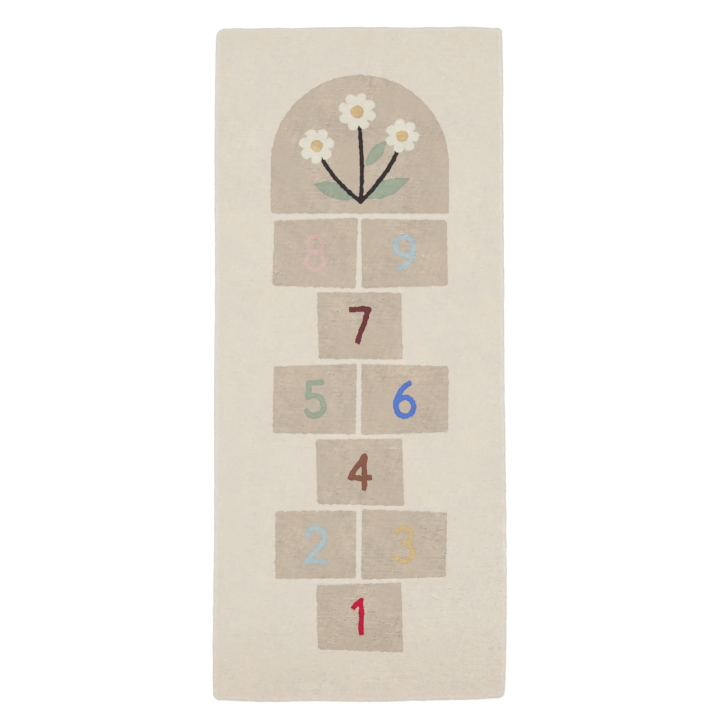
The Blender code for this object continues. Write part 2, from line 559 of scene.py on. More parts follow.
@lru_cache(maxsize=1)
def areas():
    """All areas of pile after the ground. Where two overlap, the later one is on top.

    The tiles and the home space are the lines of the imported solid's grooves, in rows from the foot.
    A numeral stands in the middle of each tile's box, and the daisies on the home space's foot.
    """
    size = bpy.context.scene.rug_court
    tiles = [anticlockwise(line) for line in lines_at(GROOVE_HEIGHT)]
    tiles.sort(key=lambda line: (round(line[:, 1].mean() / TILE_ROW_STEP), line[:, 0].mean()))
    home = tiles.pop()
    found = [Area(Outline(tile), "taupe", "tile_pile", size.groove_depth) for tile in tiles]
    found.append(Area(Outline(home), "taupe", "home_pile", size.groove_depth))
    for number, tile in enumerate(tiles, start=1):
        middle = (tile.min(axis=0) + tile.max(axis=0)) / 2
        shape = numeral(number, middle, size.numeral_height, size.numeral_stroke)
        found.append(Area(shape, NUMERAL_YARNS[number - 1], "number_pile", size.motif_depth))
    origin = np.array([(home[:, 0].min() + home[:, 0].max()) / 2, home[:, 1].min()])
    found += bunch_of_daisies(origin, size)
    first_seed = bpy.context.scene.rug_pile.seed + LINE_SEED
    return [
        area._replace(shape=HandTufted(area.shape, first_seed + number, size.wander))
        for number, area in enumerate(found)
    ]


def yarns_by_number():
    """The yarn of each area by its number, with the ground's first."""
    return ["cream"] + [area.yarn for area in areas()]


# ---------------------------------------------------------------------------------------------
# The tufts

# The lattice: how many tufts it goes past the rug's reach, and how far and over how many tufts a row sways.
LATTICE_MARGIN = 3
ROW_SWAY = 0.12
ROW_SWAY_SPACING = 40

# How near a point is to the rug's box before its distance to the widest line is worked out, and the
# distance that stands for all points deeper inside.
EDGE_MARGIN = 0.02
DEEP_INSIDE = -1.0

# How many valleys ring a tip.
RING_SIZE = 6

# How often valleys are drawn up to their line, and unfolded, and how small a triangle of a tuft may
# get, as a share of the pitch squared. A tip strays from its ring's middle by a share of the pitch.
LINE_ROUNDS = 2
UNFOLD_ROUNDS = 12
LEAST_TRIANGLE = 0.02
TIP_STRAY = 0.1

# Over what length along the rim's section its slope is taken, and the lift fades out at the roots.
SLOPE_STEP = 0.0006
ROOT_FADE = 0.0025

# The slow changes: of the cut surface's height, of the rug's edge, of the tint, and of the tint's strength.
SWELL = (Wave(length=0.060), Wave(length=0.021, strength=0.7))
EDGE_STRAY = (Wave(length=0.050), Wave(length=0.120))
CLOUDS = (Wave(length=0.150), Wave(length=0.040, strength=1.1), Wave(length=0.012, strength=1.2))
PATCHES = (Wave(length=0.120),)

# Lumps: the shortest and the longest, as shares of the relief. Dashes of them: the spacing of their
# noise in tufts, how high it is where it makes a dash, and how much a dash is broken.
LUMP_LENGTHS = (0.3, 1.0)
DASH_SPACING = 3.2
DASH_THRESHOLD = 1.2
DASH_LENGTHS = (0.1, 1.0)

# Heights as shares of the relief: how far tips stand over the pile's mean top and valleys lie under
# it, and how much each is scattered.
TIP_RISE = 0.2
TIP_SCATTER = 0.2
VALLEY_DROP = 0.8
VALLEY_SCATTER = 0.12

# Streaks along the rows: the spacings of their noise in tufts, and the strength of each.
STREAK_SPACINGS = (28, 6)
STREAK_STRENGTH = 0.7

# How far a dark yarn's edge shade reaches in, in pitches, and how strong flecks are.
EDGE_SHADE_REACH = 1.2
FLECK_STRENGTHS = (0.03, 0.12)

# Where the painted light on the rim's sloping wool begins and is whole, as distances past the start of the
# rim.
RIM_PAINTED_LIGHT_SPAN = (-0.006, 0.006)

# Trodden pile: how far it leans over to the right-hand side, and where it begins and is whole.
ROUGH_LEAN = 0.6
ROUGH_SPAN = (0.35, 0.70)


class Tufts:
    """Every tuft of the rug, on one flat lattice that is then wrapped over the rim.

    A tuft is a tip inside a ring of six valley points, which it shares with its neighbours. The
    tips make a triangular lattice in rows across the width, and the valleys lie at the middles
    of its triangles. Each tuft belongs to one area, and the valleys between two areas are moved
    onto the line between them.
    """

    def __init__(self, pile):
        self.pile = pile
        self.rng = np.random.default_rng(pile.seed)
        self.outline = Outline(lines_at(WIDEST_HEIGHT)[0])
        insets = np.array([level.inset for level in PILE_RIM])
        self.rim_height = np.array([level.height for level in PILE_RIM])
        self.rim_out = RIM_WIDTH - insets
        steps = np.hypot(np.diff(insets), np.diff(self.rim_height))
        self.rim_along = np.concatenate([[0], np.cumsum(steps)])
        self.rim_root = self.rim_along[RIM_ROOT_LEVEL]
        self.reach = self.rim_root + pile.pitch - RIM_WIDTH
        self.make_lattice()
        self.share_areas()
        self.settle_valleys()
        self.leave_lumps()
        self.lift()
        self.tint()

    def row_noise(self, spacing):
        """Smooth noise along each row of the lattice, each row's apart."""
        rows, columns = self.grid
        return np.stack([smooth_noise(self.rng, columns, spacing) for _ in range(rows)])

    def make_lattice(self):
        """Tips and valleys on the plane: tips a pitch apart in rows √3/2 pitches apart, every other
        row moved by half a pitch, and all rows swayed by the mean of three rows' noise."""
        pitch = self.pile.pitch
        half = np.array(FLAT_SIZE) / 2 + self.reach + LATTICE_MARGIN * pitch
        row_step = pitch * math.sqrt(3) / 2
        rows, columns = int(2 * half[1] / row_step), int(2 * half[0] / pitch)
        self.grid = (rows, columns)
        row, column = np.mgrid[0:rows, 0:columns]
        x = (column + (row % 2) / 2) * pitch - half[0]
        y = row * row_step - half[1]
        sway = self.row_noise(ROW_SWAY_SPACING)
        sway = (sway + np.roll(sway, 1, axis=0) + np.roll(sway, 2, axis=0)) / 3
        tips = np.stack([x, y + sway * pitch * ROW_SWAY], axis=2)
        beside = tips + (pitch / 2, pitch / (2 * math.sqrt(3)))
        above = tips + (0, pitch / math.sqrt(3))
        valleys = np.concatenate([beside.reshape(-1, 2), above.reshape(-1, 2)])
        valleys += self.rng.uniform(-1, 1, valleys.shape) * pitch * self.pile.scatter

        number = np.arange(rows * columns).reshape(rows, columns)
        beside_of, above_of = number, number + rows * columns
        inner_row, inner_column = (a.ravel() for a in np.mgrid[1:rows, 1 : columns - 1])
        lower_left = inner_column - (inner_row % 2 == 0)
        # Anticlockwise round a tip: the valleys beside it, above it and beside the tip to its left,
        # then the one above and beside the tip below it on the left, and above the one on the right.
        rings = [
            beside_of[inner_row, inner_column],
            above_of[inner_row, inner_column],
            beside_of[inner_row, inner_column - 1],
            above_of[inner_row - 1, lower_left],
            beside_of[inner_row - 1, lower_left],
            above_of[inner_row - 1, lower_left + 1],
        ]
        on_rug = self.edge_distance(tips[inner_row, inner_column]) < self.reach
        self.rows = inner_row[on_rug]
        self.columns = inner_column[on_rug]
        self.tips = tips[self.rows, self.columns]
        self.rings = np.stack(rings, axis=1)[on_rug]
        self.valleys = valleys

    def edge_distance(self, points):
        """The distance to the rug's widest line, worked out only near the sides of its box."""
        far = np.full(len(points), DEEP_INSIDE)
        low, high = self.outline.low + EDGE_MARGIN, self.outline.high - EDGE_MARGIN
        near = np.flatnonzero(((points < low) | (points > high)).any(axis=1))
        far[near] = self.outline.distance(points[near])
        return far

    def share_areas(self):
        """Gives each tuft its area's number: 0 for the ground, or one more than its place in the list."""
        self.area = np.zeros(len(self.tips), np.int32)
        for number, area in enumerate(areas(), start=1):
            near = close_to(area.shape, self.tips, 0)
            inside = area.shape.distance(self.tips[near]) < 0
            self.area[near[inside]] = number

    def settle_valleys(self):
        """Moves the valleys between two areas onto the line between them, give or take a fringe.

        Where a tuft would fold over itself, the valleys round it go back halfway until it doesn't.
        """
        pile = self.pile
        count = len(self.valleys)
        ring = self.rings.ravel()
        owner = np.repeat(self.area, RING_SIZE)
        lowest = np.full(count, len(areas()) + 1)
        highest = np.full(count, -1)
        np.minimum.at(lowest, ring, owner)
        np.maximum.at(highest, ring, owner)
        settled = self.valleys.copy()
        fringe = self.rng.normal(size=count) * pile.fringe
        for number, area in enumerate(areas(), start=1):
            between = np.flatnonzero((highest == number) & (lowest < number))
            for _ in range(LINE_ROUNDS):
                points = settled[between]
                push = area.shape.distance(points) - fringe[between]
                push = np.clip(push, -pile.pitch, pile.pitch) * pile.trueness
                settled[between] = points - uphill(area.shape, points, LINE_STEP) * push[:, None]
        moved = settled - self.valleys
        for _ in range(UNFOLD_ROUNDS):
            around = (self.valleys + moved)[self.rings]
            spoke = around - around.mean(axis=1, keepdims=True)
            after = np.roll(spoke, -1, axis=1)
            turn = spoke[:, :, 0] * after[:, :, 1] - spoke[:, :, 1] * after[:, :, 0]
            folded = (turn < LEAST_TRIANGLE * pile.pitch**2).any(axis=1)
            moved[np.unique(self.rings[folded])] /= 2
        self.valleys += moved
        self.tips = self.valleys[self.rings].mean(axis=1)
        self.tips += self.rng.uniform(-TIP_STRAY, TIP_STRAY, self.tips.shape) * pile.pitch

    def roughened(self, points):
        """1 on fresh pile, and more towards the foot and its right-hand corner, where it is trodden."""
        toward_foot = points @ (ROUGH_LEAN, -1.0)
        return 1 + self.pile.roughening * smooth_step(toward_foot, *ROUGH_SPAN)

    def carving(self, points):
        """How far the shears take the pile down beside each line: most on it, and nothing at half
        the groove's width."""
        drop = np.zeros(len(points))
        half = bpy.context.scene.rug_court.groove_width / 2
        for area in areas():
            near = close_to(area.shape, points, half)
            away = np.abs(area.shape.distance(points[near]))
            here = area.carved * (1 - smooth_step(away, 0, half))
            drop[near] = np.maximum(drop[near], here)
        return drop

    def wrapped(self, points, lift):
        """Flat points as they lie on the rug.

        Where the distance past the start of the rim is s, a point goes to the rim's section at s
        along it, square out from the widest line, and as far out again as the edge strays there.
        It is lifted along the section's own normal.
        """
        past = self.edge_distance(points) + RIM_WIDTH
        place = np.concatenate([points, np.full((len(points), 1), PILE_TOP)], axis=1)
        normal = np.tile([0.0, 0.0, 1.0], (len(points), 1))
        over = np.flatnonzero(past > 0)
        s = np.minimum(past[over], self.rim_along[-1])
        run, rise = self.rim_section(s)
        run_after, rise_after = self.rim_section(s + SLOPE_STEP)
        run_before, rise_before = self.rim_section(s - SLOPE_STEP)
        run_slope, rise_slope = run_after - run_before, rise_after - rise_before
        slope = np.hypot(run_slope, rise_slope)
        out = uphill(self.outline, points[over], EDGE_STEP)
        start = points[over] - out * past[over, None]
        stray = self.pile.edge_stray * slow_change(self.pile.seed + EDGE_SEED, start, EDGE_STRAY)
        run = run + stray * smooth_step(past[over], 0, RIM_WIDTH)
        place[over, :2] = start + out * run[:, None]
        place[over, 2] = rise
        normal[over, :2] = out * (-rise_slope / slope)[:, None]
        normal[over, 2] = run_slope / slope
        ending = smooth_step(past, self.rim_root - ROOT_FADE, self.rim_root)
        return place + normal * (lift * (1 - ending))[:, None]

    def rim_section(self, s):
        """How far out from its start, and how high, the rim's section is at s along it."""
        out = np.interp(s, self.rim_along, self.rim_out)
        return out, np.interp(s, self.rim_along, self.rim_height)

    def leave_lumps(self):
        """Tufts that stand proud: single ones, and short dashes along the rows where a noise is high."""
        single = self.rng.random(self.grid) < self.pile.lump_share
        self.lumps = single * self.rng.uniform(*LUMP_LENGTHS, self.grid)
        dash = self.row_noise(DASH_SPACING)
        self.lumps += np.clip(dash - DASH_THRESHOLD, 0, 1) * self.rng.uniform(*DASH_LENGTHS, self.grid)

    def lift(self):
        """Heights: the surface swells slowly, tips stand a little above it and valleys below, and both
        sink into the grooves."""
        tip_relief = self.pile.relief * self.roughened(self.tips)
        tip_lift = self.surface(self.tips) + TIP_RISE * self.pile.relief
        tip_lift += self.rng.normal(size=len(self.tips)) * tip_relief * TIP_SCATTER
        tip_lift += self.lumps[self.rows, self.columns] * tip_relief
        valley_relief = self.pile.relief * self.roughened(self.valleys)
        valley_lift = self.surface(self.valleys) - VALLEY_DROP * self.pile.relief
        valley_lift += self.rng.normal(size=len(self.valleys)) * valley_relief * VALLEY_SCATTER
        self.tip_place = self.wrapped(self.tips, tip_lift)
        self.valley_place = self.wrapped(self.valleys, valley_lift)
        self.tip_rim = self.rim_share(self.tips)
        self.valley_rim = self.rim_share(self.valleys)
        self.find_normals()

    def surface(self, points):
        """The cut surface's height over its mean: its slow swell less the carving."""
        swell = slow_change(self.pile.seed + SWELL_SEED, points, SWELL)
        return self.pile.unevenness * swell - self.carving(points)

    def rim_share(self, points):
        """0 on the flat top, rising to 1 over the start of the rim: how much painted light the rim's wool
        gets.
        """
        return smooth_step(self.edge_distance(points) + RIM_WIDTH, *RIM_PAINTED_LIGHT_SPAN)

    def find_normals(self):
        """Each point's normal: the sum of the cross products of the triangles round it, made one long."""
        around = self.valley_place[self.rings]
        spoke = around - self.tip_place[:, None]
        cross = np.cross(spoke, np.roll(spoke, -1, axis=1))
        ends = np.concatenate([self.rings.ravel(), np.roll(self.rings, -1, axis=1).ravel()])
        twice = np.concatenate([cross.reshape(-1, 3)] * 2)
        count = len(self.valleys)
        sums = [np.bincount(ends, twice[:, axis], minlength=count) for axis in range(3)]
        self.valley_normal = unit(np.stack(sums, axis=1))
        self.tip_normal = unit(cross.sum(axis=1))

    def tint(self):
        """How much lighter or darker each tuft is.

        Streaks along the rows, painted highlights on the tops of lumps with painted shadows on the
        tufts below them, tints tuft by tuft and slow clouds add up. The sum is stronger on some yarns
        and in some patches. Painted shade darkens the edge of a dark yarn's area, flecks are added,
        and the line between two tiles is lightened.
        """
        pile = self.pile
        streaks = sum(STREAK_STRENGTH * self.row_noise(spacing) for spacing in STREAK_SPACINGS)
        # Painted highlight and shadow: a lump's top is painted lighter and the tuft below it darker, as if
        # lit from the head.
        lit = self.lumps - np.roll(self.lumps, -1, axis=0)
        tint = (pile.streak * streaks + pile.lump_highlight_and_shadow * lit)[self.rows, self.columns]
        tint += pile.tuft_tint * self.rng.normal(size=len(self.tips))
        tint *= self.roughened(self.tips)
        tint += pile.cloud_tint * slow_change(pile.seed + CLOUD_SEED, self.tips, CLOUDS)
        mottle = {"cream": 1.0, "chalk": 1.0, "taupe": pile.taupe_mottle}
        tint *= np.array([mottle.get(yarn, pile.bright_mottle) for yarn in yarns_by_number()])[self.area]
        patches = slow_change(pile.seed + PATCH_SEED, self.tips, PATCHES)
        tint *= np.maximum(1 + pile.patchiness * patches, 0)
        self.shade_edges(tint)
        fleck = self.rng.random(len(self.tips))
        strength = self.rng.uniform(*FLECK_STRENGTHS, len(self.tips))
        tint -= (fleck < pile.fleck_share) * strength
        tint += (fleck > 1 - pile.fleck_share) * strength
        # The tuft's tint holds the yarn's uneven tone, and also painted light: the lumps' painted highlights
        # and shadows and the edges' painted shade.
        self.tuft_tint = tint + pile.line_lightness * self.between_tiles()

    def shade_edges(self, tint):
        """Darkens an area's tufts along its edge, by the square of how far its yarn is from white."""
        for number, area in enumerate(areas(), start=1):
            if area.yarn == "taupe":
                continue
            mine = np.flatnonzero(self.area == number)
            dark = (1 - np.mean(getattr(bpy.context.scene.rug_yarns, area.yarn))) ** 2
            inwards = -area.shape.distance(self.tips[mine])
            edge = 1 - smooth_step(inwards, 0, EDGE_SHADE_REACH * self.pile.pitch)
            tint[mine] -= self.pile.edge_shade * dark * edge

    def between_tiles(self):
        """Whether each tuft is of the ground and near two tiles at once."""
        beside = np.zeros(len(self.tips), int)
        for area in areas():
            if area.yarn == "taupe":
                near = close_to(area.shape, self.tips, self.pile.line_reach)
                beside[near] += area.shape.distance(self.tips[near]) < self.pile.line_reach
        return (self.area == 0) & (beside > 1)


@lru_cache(maxsize=1)
def tufts():
    """The rug's tufts, worked out once."""
    return Tufts(bpy.context.scene.rug_pile)


# ---------------------------------------------------------------------------------------------
# Meshes


def mesh_piece(name, points, faces):
    """An object with this mesh, at the origin, shaded smooth, that rides on the rug's body in place of
    its solid."""
    mesh = bpy.data.meshes.new(name)
    mesh.vertices.add(len(points))
    mesh.vertices.foreach_set("co", np.asarray(points, np.float32).ravel())
    mesh.loops.add(faces.size)
    mesh.loops.foreach_set("vertex_index", faces.astype(np.int32).ravel())
    mesh.polygons.add(len(faces))
    corners = faces.shape[1]
    mesh.polygons.foreach_set("loop_start", np.arange(len(faces), dtype=np.int32) * corners)
    mesh.update(calc_edges=True)
    mesh.shade_smooth()
    piece = bpy.data.objects.new(name, mesh)
    bpy.context.scene.collection.objects.link(piece)
    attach(piece, BODY)
    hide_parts(NODE)
    return piece


def add_attribute(piece, name, domain, values):
    """One number for each face or point of the piece, which its wool reads by this name."""
    attribute = piece.data.attributes.new(name, "FLOAT", domain)
    attribute.data.foreach_set("value", np.asarray(values, np.float32))


def spread(values, times, more=0):
    """Each value this many times, and then more zeros."""
    return np.concatenate([np.repeat(values, times), np.zeros(more)])


def dress_in_wool(piece, numbers, faces_each, more=0):
    """Gives the faces of each tuft the wool of its area, by the area's number."""
    yarns = yarns_by_number()
    worn = sorted({yarns[number] for number in np.unique(numbers)})
    slot = np.array([worn.index(yarn) if yarn in worn else 0 for yarn in yarns])
    for yarn in worn:
        piece.data.materials.append(wool(yarn))
    index = spread(slot[numbers], faces_each, more).astype(np.int32)
    piece.data.polygons.foreach_set("material_index", index)


def flat_fill(flat, starts, ends):
    """Triangles that fill closed lines on the plane, facing down, by a Delaunay mesh held to the lines."""
    corners, edge = np.unique(np.concatenate([starts, ends]), return_inverse=True)
    edge = edge.reshape(2, -1).T
    found, _, triangles, sources, _, _ = delaunay_2d_cdt(
        [Vector(p) for p in flat[corners].tolist()], edge.tolist(), [], 0, 0.0, True
    )
    if len(found) != len(corners):
        raise RuntimeError("the edges of a piece cross")
    number = corners[np.array([source[0] for source in sources])]
    triangles = number[np.array(triangles)]
    middle = flat[triangles].mean(axis=1)
    inside = in_blocks(lambda p: is_inside(p, flat[starts], flat[ends]), middle, TRIANGLE_BLOCK)
    triangles = triangles[inside.astype(bool)]
    corner = flat[triangles]
    one, two = corner[:, 1] - corner[:, 0], corner[:, 2] - corner[:, 0]
    up = one[:, 0] * two[:, 1] - one[:, 1] * two[:, 0] > 0
    triangles[up] = triangles[up][:, ::-1]
    return triangles


def wall_between(upper, lower):
    """Two triangles for each step round two rings of points, given by their numbers."""
    after_upper, after_lower = np.roll(upper, -1), np.roll(lower, -1)
    return [
        np.stack([upper, lower, after_lower], axis=1),
        np.stack([upper, after_lower, after_upper], axis=1),
    ]


def cells(count, band):
    """One small triangle for each of many faces, in a grid of cells that fills a band of the map."""
    size = band.high - band.low
    across = math.ceil(math.sqrt(count * size[0] / size[1]))
    down = math.ceil(count / across)
    number = np.arange(count)
    corner = np.stack([number % across, number // across], axis=1) + CELL_MARGIN
    triangle = np.array([(0.0, 0.0), (1.0, 0.0), (0.0, 1.0)]) * (1 - 2 * CELL_MARGIN)
    return band.low + (corner[:, None] + triangle) / (across, down) * size


def set_map(piece, place):
    """Gives the piece's corners their places on its map."""
    layer = piece.data.uv_layers.new(name="OFBake")
    layer.uv.foreach_set("vector", place.astype(np.float32).ravel())


def lay_out(piece, flat, pile_faces, wall_faces):
    """A map on which no two faces share a place: pile above, walls and underside in thin bands below.

    The pile and the underside keep their place on the flat rug, stretched to fill their bands.
    """
    low, high = flat.min(axis=0), flat.max(axis=0)
    share = (flat - low) / (high - low)
    corners = np.empty(len(piece.data.loops), np.int32)
    piece.data.loops.foreach_get("vertex_index", corners)
    place = share[corners].reshape(-1, 3, 2)
    walls = slice(pile_faces, pile_faces + wall_faces)
    for faces, band in ((place[: walls.start], PILE_BAND), (place[walls.stop :], BOTTOM_BAND)):
        faces *= band.high - band.low
        faces += band.low
    place[walls] = cells(wall_faces, WALL_BAND)
    set_map(piece, place)


def tufted_piece(name, chosen):
    """A closed piece of pile from the chosen tufts.

    Six triangles join each tip to its ring. Each edge of a ring that no other chosen tuft shares
    gets a wall down to the roots, and the walls' feet are closed by a flat fill. The pile's
    normals are those of the whole rug's pile, so that no seam shows between two pieces.
    """
    field = tufts()
    ring = field.rings[chosen]
    count = len(ring)
    used, ring = np.unique(ring, return_inverse=True)
    ring = ring.reshape(count, RING_SIZE) + count
    top = np.concatenate([field.tip_place[chosen], field.valley_place[used]])
    starts, ends = ring.ravel(), np.roll(ring, -1, axis=1).ravel()
    pile = np.stack([np.repeat(np.arange(count), RING_SIZE), starts, ends], axis=1)

    open_edge = ~np.isin(starts * len(top) + ends, ends * len(top) + starts)
    a, b = starts[open_edge], ends[open_edge]
    rim = np.unique(np.concatenate([a, b]))
    foot = np.arange(len(top))
    foot[rim] = len(top) + np.arange(len(rim))
    feet = top[rim].copy()
    feet[:, 2] = PILE_ROOT
    points = np.concatenate([top, feet])
    flat = np.concatenate([field.tips[chosen], field.valleys[used], field.valleys[used][rim - count]])
    walls = np.concatenate(
        [np.stack([b, a, foot[a]], axis=1), np.stack([b, foot[a], foot[b]], axis=1)]
    )
    bottom = flat_fill(flat, foot[b], foot[a])

    hidden = len(walls) + len(bottom)
    piece = mesh_piece(name, points, np.concatenate([pile, walls, bottom]))
    add_attribute(piece, "tuft_tint", "FACE", spread(field.tuft_tint[chosen], RING_SIZE, hidden))
    add_attribute(piece, "depth", "POINT", np.arange(len(points)) >= count)
    down = np.concatenate([field.tip_rim[chosen], field.valley_rim[used]])
    add_attribute(piece, "rim", "POINT", np.concatenate([down, down[rim]]))
    lay_out(piece, flat, len(pile), len(walls))
    dress_in_wool(piece, field.area[chosen], RING_SIZE, hidden)

    normals = np.empty(len(piece.data.polygons) * 3, np.float32)
    piece.data.polygons.foreach_get("normal", normals)
    normals = np.repeat(normals.reshape(-1, 3), 3, axis=0)
    smooth = np.concatenate([field.tip_normal[chosen], field.valley_normal[used]])
    normals[: pile.size] = smooth[pile.ravel()]
    piece.data.normals_split_custom_set(normals)
    return piece


# Fibres: how far they lean off the tuft's normal in degrees, their lengths against the usual one, how
# much they curl and droop for their length, and where they start: how far aside in pitches, and how
# deep in reliefs.
FIBRE_LEAN = (45, 82)
FIBRE_LENGTHS = (0.4, 1.3)
FIBRE_CURL = 0.35
FIBRE_DROOP = 0.25
FIBRE_ASIDE = 0.4
FIBRE_SINK = 0.4

# Below the first height the rim's fibres stand more thickly, and below the second there are none.
RIM_FIBRE_HEIGHT = PILE_RIM[2].height
LOWEST_FIBRE_HEIGHT = PILE_RIM[6].height


class FibreRing(NamedTuple):
    """One ring of a fibre: how far along it is, its width against the foot's, and its corners."""

    t: float
    width: float
    corners: int


FIBRE_RINGS = (
    FibreRing(t=0.0, width=1.0, corners=3),
    FibreRing(t=0.5, width=0.8, corners=3),
    FibreRing(t=1.0, width=0.0, corners=1),
)
FIBRE_FACES = np.array(
    [
        *[(0, 1, 4), (0, 4, 3), (1, 2, 5), (1, 5, 4), (2, 0, 3), (2, 3, 5)],
        *[(3, 4, 6), (4, 5, 6), (5, 3, 6)],
        (0, 2, 1),
    ]
)


def fibre_points(field, chosen, rng):
    """The seven points of each loose fibre that grows from the chosen tufts.

    A fibre starts in its tuft and leaves it along d, leaning off the tuft's normal n by an angle.
    At t it has come t·d + t²·(curl·side - droop·n) times its length. It is a ring of three points
    at its foot, a thinner ring half way, and a point at its end, and none goes under the floor.
    """
    pile = field.pile
    count = len(chosen)
    n = field.tip_normal[chosen]
    aside = unit(np.cross(n, rng.normal(size=n.shape)))
    lean = np.radians(rng.uniform(*FIBRE_LEAN, count))[:, None]
    d = n * np.cos(lean) + aside * np.sin(lean)
    side = np.cross(n, aside)
    long = pile.fibre_length * rng.uniform(*FIBRE_LENGTHS, (count, 1))
    curl = rng.normal(size=(count, 1)) * FIBRE_CURL
    start = field.tip_place[chosen] + aside * rng.uniform(0, FIBRE_ASIDE, (count, 1)) * pile.pitch
    start -= n * pile.relief * FIBRE_SINK
    points = []
    for ring in FIBRE_RINGS:
        middle = start + long * (ring.t * d + ring.t**2 * (curl * side - FIBRE_DROOP * n))
        middle[:, 2] = np.maximum(middle[:, 2], pile.fibre_width)
        for angle in np.arange(ring.corners) * 2 * np.pi / 3:
            spoke = side * np.cos(angle) + np.cross(d, side) * np.sin(angle)
            points.append(middle + spoke * pile.fibre_width * ring.width / 2)
    return np.stack(points, axis=1)


# ---------------------------------------------------------------------------------------------
# Shader expressions


class Value:
    """A node's output, on which arithmetic adds Math nodes."""

    def __init__(self, surface, socket):
        self.surface = surface
        self.socket = socket

    def __add__(self, other):
        return self.surface.math("ADD", self, other)

    def __mul__(self, other):
        return self.surface.math("MULTIPLY", self, other)

    def __sub__(self, other):
        return self.surface.math("SUBTRACT", self, other)

    def __rsub__(self, other):
        return self.surface.math("SUBTRACT", other, self)

    __radd__ = __add__
    __rmul__ = __mul__


WHITE = (1.0, 1.0, 1.0)


class Finish(NamedTuple):
    """How one cloth takes the light."""

    roughness: float
    roughness_change: float
    bump_depth: float
    bump_strength: float
    sheen_roughness: float
    specular: float


class Surface:
    """A material under construction."""

    def __init__(self, name):
        self.material = bpy.data.materials.new(name)
        self.material.use_nodes = True
        self.tree = self.material.node_tree
        self.shader = self.tree.nodes["Principled BSDF"]

    def feed(self, node, sockets):
        """Links each Value to its socket of the node, and sets the other sockets to their numbers."""
        for key, source in sockets.items():
            if isinstance(source, Value):
                self.tree.links.new(source.socket, node.inputs[key])
            else:
                node.inputs[key].default_value = source

    def node(self, kind, settings, sockets, output=0):
        """One node of a kind, with its settings first and then its sockets, by name or number."""
        node = self.tree.nodes.new(kind)
        for name, value in settings.items():
            setattr(node, name, value)
        self.feed(node, sockets)
        return Value(self, node.outputs[output])

    def math(self, operation, *sources):
        """One operation of arithmetic on numbers."""
        return self.node("ShaderNodeMath", {"operation": operation}, dict(enumerate(sources)))

    def place(self):
        """The place on the rug, in metres."""
        return self.node("ShaderNodeTexCoord", {}, {}, output="Object")

    def place_along(self, axis):
        """One axis of the place on the rug."""
        return self.node("ShaderNodeSeparateXYZ", {}, {"Vector": self.place()}, output=axis)

    def attribute(self, name):
        """The number that the piece carries by this name."""
        return self.node("ShaderNodeAttribute", {"attribute_name": name}, {}, output="Fac")

    def noise(self, place, scale, detail, roughness):
        """Soft noise about a half, with this many waves to a metre of the place."""
        sockets = {"Vector": place, "Scale": scale, "Detail": detail, "Roughness": roughness}
        return self.node("ShaderNodeTexNoise", {}, sockets)

    def dots(self, scale):
        """The distance to the nearest of some scattered points, in steps of their spacing."""
        return self.node("ShaderNodeTexVoronoi", {}, {"Vector": self.place(), "Scale": scale})

    def rising(self, value, low, high):
        """0 below low and 1 above high, smooth between them."""
        sockets = {"Value": value, "From Min": low, "From Max": high}
        return self.node("ShaderNodeMapRange", {"interpolation_type": "SMOOTHSTEP"}, sockets)

    def mixed(self, factor, one, other):
        """One colour at 0, the other at 1, and between them in proportion."""
        sockets = {0: factor, 6: (*one, 1.0), 7: (*other, 1.0)}
        return self.node("ShaderNodeMix", {"data_type": "RGBA"}, sockets, output=2)

    def times(self, one, other):
        """One colour or place times another, by Vector Math, each of its three parts alone."""
        return self.node("ShaderNodeVectorMath", {"operation": "MULTIPLY"}, {0: one, 1: other})

    def scaled(self, colour, amount):
        """The colour times a number that varies, by Vector Math, which keeps its hue."""
        return self.node("ShaderNodeVectorMath", {"operation": "SCALE"}, {0: colour, "Scale": amount})

    def be_cloth(self, finish, colour, grain, height, sheen, sheen_tint):
        """Sets the shader as cloth: a colour, a roughness that falls as the grain rises, a bump from
        the height, and a sheen."""
        bump = {"Height": height, "Distance": finish.bump_depth, "Strength": finish.bump_strength}
        sockets = {
            "Base Color": colour,
            "Roughness": finish.roughness - grain * finish.roughness_change,
            "Normal": self.node("ShaderNodeBump", {}, bump),
            "Sheen Weight": sheen,
            "Sheen Roughness": finish.sheen_roughness,
            "Sheen Tint": (*sheen_tint, 1.0),
            "Specular IOR Level": finish.specular,
        }
        self.feed(self.shader, sockets)
        return self.material


# ---------------------------------------------------------------------------------------------
# Materials

# How the noise of the hue's drift is stretched, because it seldom goes far from its middle.
HUE_STRETCH = 2.4

# The fibre ends: how fast one darkens away from its middle, in spacings, and their mean over the pile,
# which is taken off so that they don't change the yarn's colour.
FIBRE_FALL = 1.6
MEAN_FIBRE_END = 0.13

# Strands: how many fibres make one, how much they change the tint, and the fibre ends' share of the bump.
FIBRES_TO_STRAND = 4.0
STRAND_CONTRAST = 0.045
FIBRE_BUMP = 0.4

WOOL_FINISH = Finish(
    roughness=0.95,
    roughness_change=0.1,
    bump_depth=0.0007,
    bump_strength=0.7,
    sheen_roughness=0.4,
    specular=0.2,
)

# The back cloth: how strong its weave, its slubs and the patches of glue show, how many slubs there
# are to a thread's spacing, across the thread and along it, how many patches of glue there are to a
# metre, and the weave's share of the bump.
WEAVE_SHADE = 0.07
SLUB_SHADE = 0.32
GLUE_SHADE = 0.10
SLUBS_ACROSS = 0.4
SLUBS_ALONG = 0.03
GLUE_PATCHES = 9.0
WEAVE_BUMP = 0.6
COTTON_SHEEN = 0.12

COTTON_FINISH = Finish(
    roughness=0.93,
    roughness_change=0.1,
    bump_depth=0.0004,
    bump_strength=0.9,
    sheen_roughness=0.5,
    specular=0.2,
)

# The floor's colour, and how rough it is.
FLOOR_COLOUR = (0.98, 0.98, 0.98)
FLOOR_ROUGHNESS = 0.9


